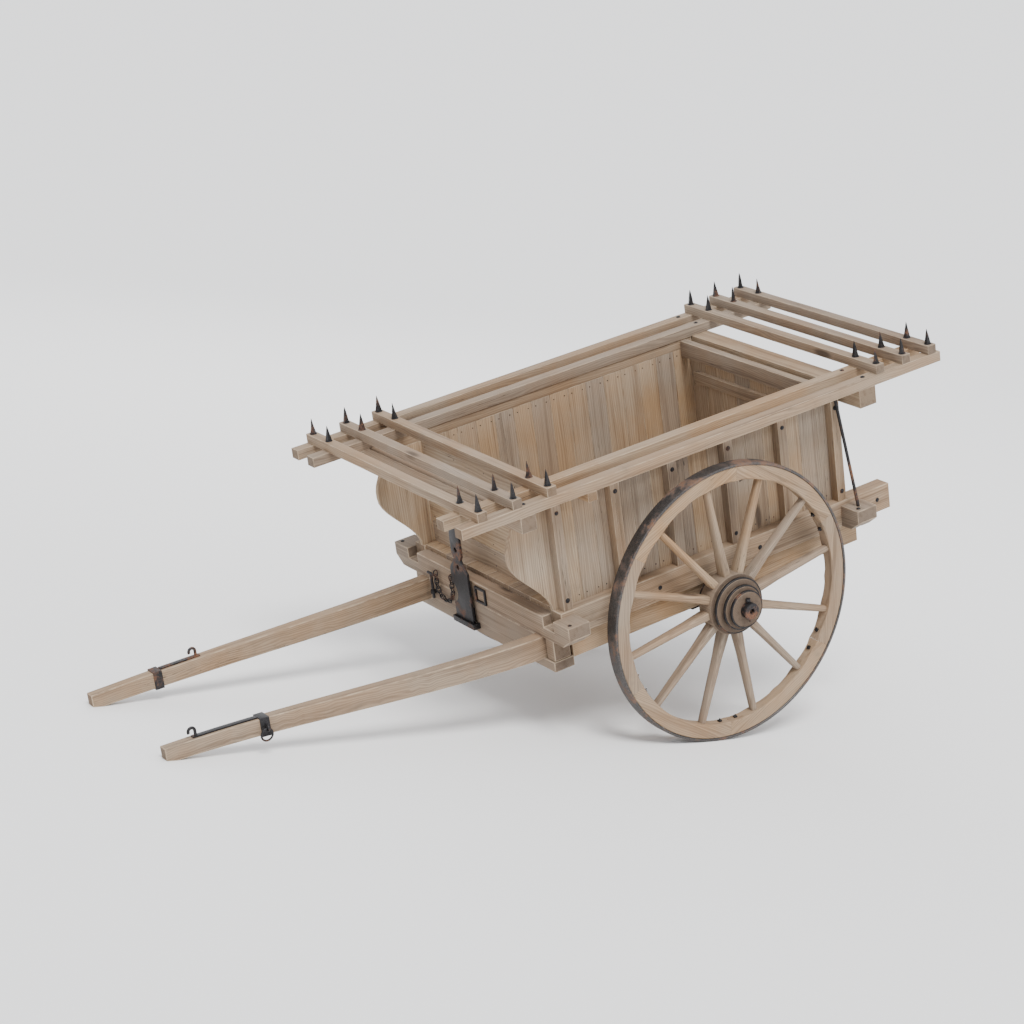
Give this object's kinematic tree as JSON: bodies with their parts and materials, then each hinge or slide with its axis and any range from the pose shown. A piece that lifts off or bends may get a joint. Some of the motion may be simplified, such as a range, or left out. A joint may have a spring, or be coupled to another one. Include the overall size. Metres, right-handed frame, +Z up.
{
  "type": "two-wheeled tip cart",
  "caption": "Two-wheeled farm tip cart with a plank body, spoked wheels, a pair of shafts and a spiked harvest top frame, standing on its shaft tips.",
  "frame": {"origin": "on the ground under the middle of the cart, measured with its box", "axes": "+Z up, +X to the rear of the cart, -Y to its left (near) side; the cart is pitched forward onto its shaft tips"},
  "size_m": [3.8238, 1.86, 2.002],
  "materials": {
    "frame_wood": "weathered, open grained",
    "board_wood": "weathered, open grained",
    "nave_wood": "turned, weathered",
    "wrought_iron": "black, forged, lightly rusted",
    "tyre_iron": "worn by the road, rusted at the sides"
  },
  "bodies": {
    "shaft_frame": {"shaft_left": "frame_wood", "shaft_right": "frame_wood", "crossbar": "frame_wood", "axle": "wrought_iron", "tip_iron": "wrought_iron", "crossbar_irons": "wrought_iron", "pin_chain": "wrought_iron", "shaft_irons_left": "wrought_iron", "shaft_irons_right": "wrought_iron", "wheel_washers": "wrought_iron", "linchpins": "wrought_iron"},
    "tip_pin": {"tip_pin": "wrought_iron"},
    "ring_left": {"shaft_ring_left": "wrought_iron"},
    "ring_right": {"shaft_ring_right": "wrought_iron"},
    "tub": {"lower_sill_left": "frame_wood", "lower_sill_right": "frame_wood", "upper_sill_left": "frame_wood", "upper_sill_right": "frame_wood", "front_beam": "frame_wood", "rear_beam": "frame_wood", "floor_boards": "board_wood", "floor_bearers": "frame_wood", "side_posts_left": "frame_wood", "side_posts_right": "frame_wood", "side_planks_left": "board_wood", "side_planks_right": "board_wood", "top_rail_left": "frame_wood", "top_rail_right": "frame_wood", "headboard": "board_wood", "front_wing_left": "board_wood", "front_wing_right": "board_wood", "rear_cross_rail": "frame_wood", "stay_rods": "wrought_iron", "outrigger_brackets": "frame_wood", "keeper_staple": "wrought_iron", "axle_straps": "wrought_iron", "tailboard_lugs": "wrought_iron"},
    "tailboard": {"tailboard_planks": "board_wood", "tailboard_ledges": "frame_wood", "tailboard_straps": "wrought_iron"},
    "top_frame": {"outer_rail_left": "frame_wood", "outer_rail_right": "frame_wood", "inner_rail_left": "frame_wood", "inner_rail_right": "frame_wood", "front_slats": "frame_wood", "rear_slats": "frame_wood", "frame_bearers": "frame_wood", "slat_spikes": "wrought_iron"},
    "wheel_left": {"nave_left": "nave_wood", "nave_hoops_left": "wrought_iron", "axle_box_left": "wrought_iron", "spokes_left": "frame_wood", "felloes_left": "frame_wood", "tyre_left": "tyre_iron"},
    "wheel_right": {"nave_right": "nave_wood", "nave_hoops_right": "wrought_iron", "axle_box_right": "wrought_iron", "spokes_right": "frame_wood", "felloes_right": "frame_wood", "tyre_right": "tyre_iron"}
  },
  "joints": [
    {"name": "wheel_left_spin", "type": "hinge", "parent": "shaft_frame", "child": "wheel_left", "pos_m": [0.80179, 0, 0.686], "axis": [0, 1, 0], "continuous": true},
    {"name": "wheel_right_spin", "type": "hinge", "parent": "shaft_frame", "child": "wheel_right", "pos_m": [0.80179, 0, 0.686], "axis": [0, 1, 0], "continuous": true},
    {"name": "tub_tip", "type": "hinge", "parent": "shaft_frame", "child": "tub", "pos_m": [0.80179, 0, 0.686], "axis": [0, 1, 0], "range_deg": [0, 45]},
    {"name": "tailboard_drop", "type": "hinge", "parent": "tub", "child": "tailboard", "pos_m": [1.59148, 0, 1.13475], "axis": [0, 1, 0], "range_deg": [0, 90]},
    {"name": "top_frame_lift", "type": "slide", "parent": "tub", "child": "top_frame", "axis": [-0.2905, 0, 0.9569], "range_m": [0, 0.25]},
    {"name": "tip_pin_pull", "type": "slide", "parent": "shaft_frame", "child": "tip_pin", "axis": [-0.2905, 0, 0.9569], "range_m": [0, 0.12]},
    {"name": "ring_left_swing", "type": "hinge", "parent": "shaft_frame", "child": "ring_left", "pos_m": [-1.44333, -0.44423, 0.12936], "axis": [-0.9569, 0, -0.2905], "range_deg": [-6, 80]},
    {"name": "ring_right_swing", "type": "hinge", "parent": "shaft_frame", "child": "ring_right", "pos_m": [-1.57045, 0.43468, 0.10057], "axis": [0.9569, 0, 0.2905], "range_deg": [-6, 80]}
  ]
}
